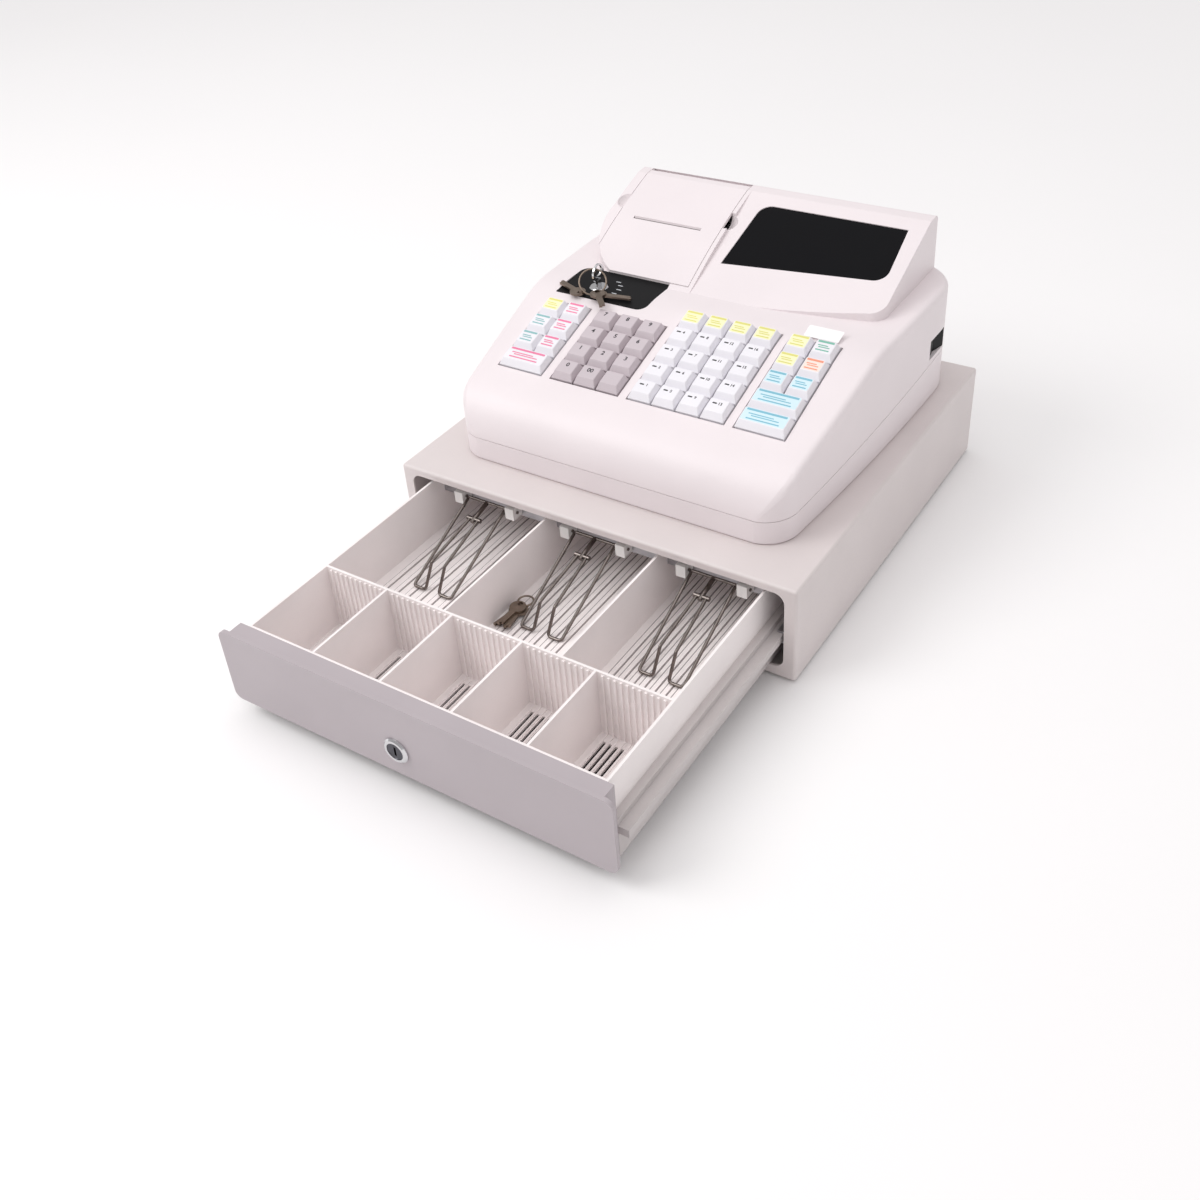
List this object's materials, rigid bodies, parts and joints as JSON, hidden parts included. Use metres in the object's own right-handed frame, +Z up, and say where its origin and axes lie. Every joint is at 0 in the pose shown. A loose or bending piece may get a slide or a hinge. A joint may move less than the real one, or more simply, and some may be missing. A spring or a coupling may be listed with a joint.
{
  "type": "cash register",
  "caption": "Off-white electronic cash register with receipt printer, coloured keys and an open cash drawer with coin bins and bill clips.",
  "frame": {"origin": "centre of the footprint on the table with the drawer open", "axes": "+X to the operator's right, +Y to the back of the register, +Z up"},
  "size_m": [0.33, 0.5342, 0.2101],
  "materials": {
    "cabinet_paint": "satin pinkish off-white paint",
    "zinc_steel": "zinc-plated sheet steel",
    "foot_rubber": "black rubber",
    "front_plastic": "satin warm grey moulding",
    "tray_plastic": "grey moulding",
    "white_plastic": "white moulding",
    "clip_wire": "drawn steel wire",
    "bright_metal": "bright plated metal",
    "key_metal": "worn nickel brass",
    "housing_plastic": "fine textured off-white moulding",
    "window_glass": "glossy smoked plastic",
    "black_plastic": "black moulding",
    "number_key": "grey-mauve keycap",
    "white_key": "white keycap",
    "pink_key": "pink keycap",
    "left_keys": "coloured keycaps",
    "blue_key": "blue keycap",
    "right_keys": "coloured keycaps",
    "roller_rubber": "black rubber roller",
    "paper": "white paper roll",
    "board_green": "green circuit board"
  },
  "bodies": {
    "register": {"cabinet_shell": "cabinet_paint", "cabinet_base": "zinc_steel", "drawer_rails": "zinc_steel", "latch_unit": "zinc_steel", "keyboard_plate": "zinc_steel", "printer_unit": "zinc_steel", "cover_pin": "zinc_steel", "housing_screws": "zinc_steel", "rubber_feet": "foot_rubber", "mode_keys": "key_metal", "housing_base": "housing_plastic", "housing_top": "housing_plastic", "display_window": "window_glass", "customer_window": "window_glass", "mode_panel": "black_plastic", "power_inlet": "black_plastic", "main_board": "board_green"},
    "drawer": {"drawer_front": "front_plastic", "drawer_box": "zinc_steel", "till_tray": "tray_plastic", "clip_bar": "zinc_steel", "clip_hinge_blocks": "white_plastic", "lock_body": "bright_metal", "spare_keys": "key_metal"},
    "clip_left": {"bill_clip_left": "clip_wire"},
    "clip_middle": {"bill_clip_middle": "clip_wire"},
    "clip_right": {"bill_clip_right": "clip_wire"},
    "lock_plug_body": {"lock_plug": "bright_metal"},
    "latch_pin_body": {"latch_pin": "zinc_steel"},
    "mode_switch_body": {"mode_switch": "bright_metal"},
    "power_rocker_body": {"power_rocker": "black_plastic"},
    "platen_roller_body": {"platen_roller": "roller_rubber"},
    "paper_roll_body": {"paper_roll": "paper"},
    "printer_cover_body": {"printer_cover": "housing_plastic"},
    "key_0_body": {"key_0": "number_key"},
    "key_00_body": {"key_00": "number_key"},
    "key_point_body": {"key_point": "number_key"},
    "key_1_body": {"key_1": "number_key"},
    "key_2_body": {"key_2": "number_key"},
    "key_3_body": {"key_3": "number_key"},
    "key_4_body": {"key_4": "number_key"},
    "key_5_body": {"key_5": "number_key"},
    "key_6_body": {"key_6": "number_key"},
    "key_7_body": {"key_7": "number_key"},
    "key_8_body": {"key_8": "number_key"},
    "key_9_body": {"key_9": "number_key"},
    "department_keys_row_1_body": {"department_keys_row_1": "white_key"},
    "department_keys_row_2_body": {"department_keys_row_2": "white_key"},
    "department_keys_row_3_body": {"department_keys_row_3": "white_key"},
    "department_keys_row_4_body": {"department_keys_row_4": "white_key"},
    "department_keys_row_5_body": {"department_keys_row_5": "white_key"},
    "left_wide_key_body": {"left_wide_key": "pink_key"},
    "left_keys_row_1_body": {"left_keys_row_1": "left_keys"},
    "left_keys_row_2_body": {"left_keys_row_2": "left_keys"},
    "left_keys_row_3_body": {"left_keys_row_3": "left_keys"},
    "right_wide_key_front_body": {"right_wide_key_front": "blue_key"},
    "right_wide_key_rear_body": {"right_wide_key_rear": "blue_key"},
    "right_keys_row_1_body": {"right_keys_row_1": "right_keys"},
    "right_keys_row_2_body": {"right_keys_row_2": "right_keys"},
    "right_keys_row_3_body": {"right_keys_row_3": "right_keys"}
  },
  "joints": [
    {"name": "drawer_slide", "type": "slide", "parent": "register", "child": "drawer", "axis": [0, 1, 0], "range_m": [0, 0.204]},
    {"name": "clip_left_hinge", "type": "hinge", "parent": "drawer", "child": "clip_left", "pos_m": [-0.093, -0.0519, 0.0605], "axis": [-1, 0, 0], "range_deg": [0, 26]},
    {"name": "clip_middle_hinge", "type": "hinge", "parent": "drawer", "child": "clip_middle", "pos_m": [0.003, -0.0519, 0.0605], "axis": [-1, 0, 0], "range_deg": [0, 26]},
    {"name": "clip_right_hinge", "type": "hinge", "parent": "drawer", "child": "clip_right", "pos_m": [0.099, -0.0519, 0.0605], "axis": [-1, 0, 0], "range_deg": [0, 26]},
    {"name": "lock_turn", "type": "hinge", "parent": "drawer", "child": "lock_plug_body", "pos_m": [-0.007, -0.2609, 0.034], "axis": [0, 1, 0], "range_deg": [0, 90]},
    {"name": "latch_slide", "type": "slide", "parent": "register", "child": "latch_pin_body", "axis": [0, 0, -1], "range_m": [0, 0.008], "stiffness_N_per_m": 50, "springref_m": -0.004},
    {"name": "key_0_press", "type": "slide", "parent": "register", "child": "key_0_body", "axis": [0, 0.2957, -0.9553], "range_m": [0, 0.003], "stiffness_N_per_m": 200, "springref_m": -0.001},
    {"name": "key_00_press", "type": "slide", "parent": "register", "child": "key_00_body", "axis": [0, 0.2957, -0.9553], "range_m": [0, 0.003], "stiffness_N_per_m": 200, "springref_m": -0.001},
    {"name": "key_point_press", "type": "slide", "parent": "register", "child": "key_point_body", "axis": [0, 0.2957, -0.9553], "range_m": [0, 0.003], "stiffness_N_per_m": 200, "springref_m": -0.001},
    {"name": "key_1_press", "type": "slide", "parent": "register", "child": "key_1_body", "axis": [0, 0.2957, -0.9553], "range_m": [0, 0.003], "stiffness_N_per_m": 200, "springref_m": -0.001},
    {"name": "key_2_press", "type": "slide", "parent": "register", "child": "key_2_body", "axis": [0, 0.2957, -0.9553], "range_m": [0, 0.003], "stiffness_N_per_m": 200, "springref_m": -0.001},
    {"name": "key_3_press", "type": "slide", "parent": "register", "child": "key_3_body", "axis": [0, 0.2957, -0.9553], "range_m": [0, 0.003], "stiffness_N_per_m": 200, "springref_m": -0.001},
    {"name": "key_4_press", "type": "slide", "parent": "register", "child": "key_4_body", "axis": [0, 0.2957, -0.9553], "range_m": [0, 0.003], "stiffness_N_per_m": 200, "springref_m": -0.001},
    {"name": "key_5_press", "type": "slide", "parent": "register", "child": "key_5_body", "axis": [0, 0.2957, -0.9553], "range_m": [0, 0.003], "stiffness_N_per_m": 200, "springref_m": -0.001},
    {"name": "key_6_press", "type": "slide", "parent": "register", "child": "key_6_body", "axis": [0, 0.2957, -0.9553], "range_m": [0, 0.003], "stiffness_N_per_m": 200, "springref_m": -0.001},
    {"name": "key_7_press", "type": "slide", "parent": "register", "child": "key_7_body", "axis": [0, 0.2957, -0.9553], "range_m": [0, 0.003], "stiffness_N_per_m": 200, "springref_m": -0.001},
    {"name": "key_8_press", "type": "slide", "parent": "register", "child": "key_8_body", "axis": [0, 0.2957, -0.9553], "range_m": [0, 0.003], "stiffness_N_per_m": 200, "springref_m": -0.001},
    {"name": "key_9_press", "type": "slide", "parent": "register", "child": "key_9_body", "axis": [0, 0.2957, -0.9553], "range_m": [0, 0.003], "stiffness_N_per_m": 200, "springref_m": -0.001},
    {"name": "department_keys_row_1_press", "type": "slide", "parent": "register", "child": "department_keys_row_1_body", "axis": [0, 0.2957, -0.9553], "range_m": [0, 0.003], "stiffness_N_per_m": 200, "springref_m": -0.001},
    {"name": "department_keys_row_2_press", "type": "slide", "parent": "register", "child": "department_keys_row_2_body", "axis": [0, 0.2957, -0.9553], "range_m": [0, 0.003], "stiffness_N_per_m": 200, "springref_m": -0.001},
    {"name": "department_keys_row_3_press", "type": "slide", "parent": "register", "child": "department_keys_row_3_body", "axis": [0, 0.2957, -0.9553], "range_m": [0, 0.003], "stiffness_N_per_m": 200, "springref_m": -0.001},
    {"name": "department_keys_row_4_press", "type": "slide", "parent": "register", "child": "department_keys_row_4_body", "axis": [0, 0.2957, -0.9553], "range_m": [0, 0.003], "stiffness_N_per_m": 200, "springref_m": -0.001},
    {"name": "department_keys_row_5_press", "type": "slide", "parent": "register", "child": "department_keys_row_5_body", "axis": [0, 0.2957, -0.9553], "range_m": [0, 0.003], "stiffness_N_per_m": 200, "springref_m": -0.001},
    {"name": "left_wide_key_press", "type": "slide", "parent": "register", "child": "left_wide_key_body", "axis": [0, 0.2957, -0.9553], "range_m": [0, 0.003], "stiffness_N_per_m": 200, "springref_m": -0.001},
    {"name": "left_keys_row_1_press", "type": "slide", "parent": "register", "child": "left_keys_row_1_body", "axis": [0, 0.2957, -0.9553], "range_m": [0, 0.003], "stiffness_N_per_m": 200, "springref_m": -0.001},
    {"name": "left_keys_row_2_press", "type": "slide", "parent": "register", "child": "left_keys_row_2_body", "axis": [0, 0.2957, -0.9553], "range_m": [0, 0.003], "stiffness_N_per_m": 200, "springref_m": -0.001},
    {"name": "left_keys_row_3_press", "type": "slide", "parent": "register", "child": "left_keys_row_3_body", "axis": [0, 0.2957, -0.9553], "range_m": [0, 0.003], "stiffness_N_per_m": 200, "springref_m": -0.001},
    {"name": "right_wide_key_front_press", "type": "slide", "parent": "register", "child": "right_wide_key_front_body", "axis": [0, 0.2957, -0.9553], "range_m": [0, 0.003], "stiffness_N_per_m": 200, "springref_m": -0.001},
    {"name": "right_wide_key_rear_press", "type": "slide", "parent": "register", "child": "right_wide_key_rear_body", "axis": [0, 0.2957, -0.9553], "range_m": [0, 0.003], "stiffness_N_per_m": 200, "springref_m": -0.001},
    {"name": "right_keys_row_1_press", "type": "slide", "parent": "register", "child": "right_keys_row_1_body", "axis": [0, 0.2957, -0.9553], "range_m": [0, 0.003], "stiffness_N_per_m": 200, "springref_m": -0.001},
    {"name": "right_keys_row_2_press", "type": "slide", "parent": "register", "child": "right_keys_row_2_body", "axis": [0, 0.2957, -0.9553], "range_m": [0, 0.003], "stiffness_N_per_m": 200, "springref_m": -0.001},
    {"name": "right_keys_row_3_press", "type": "slide", "parent": "register", "child": "right_keys_row_3_body", "axis": [0, 0.2957, -0.9553], "range_m": [0, 0.003], "stiffness_N_per_m": 200, "springref_m": -0.001},
    {"name": "mode_turn", "type": "hinge", "parent": "register", "child": "mode_switch_body", "pos_m": [-0.093, 0.1141, 0.163], "axis": [0, 0, 1], "range_deg": [-45, 45]},
    {"name": "rocker_turn", "type": "hinge", "parent": "register", "child": "power_rocker_body", "pos_m": [0.1437, 0.2116, 0.1235], "axis": [0, 0, 1], "range_deg": [0, 8]},
    {"name": "platen_spin", "type": "hinge", "parent": "register", "child": "platen_roller_body", "pos_m": [-0.073, 0.1876, 0.17358], "axis": [1, 0, 0], "continuous": true},
    {"name": "paper_spin", "type": "hinge", "parent": "register", "child": "paper_roll_body", "pos_m": [-0.073, 0.2161, 0.16598], "axis": [1, 0, 0], "continuous": true},
    {"name": "cover_hinge", "type": "hinge", "parent": "register", "child": "printer_cover_body", "pos_m": [-0.0725, 0.2411, 0.2035], "axis": [-1, 0, 0], "range_deg": [0, 70]}
  ]
}
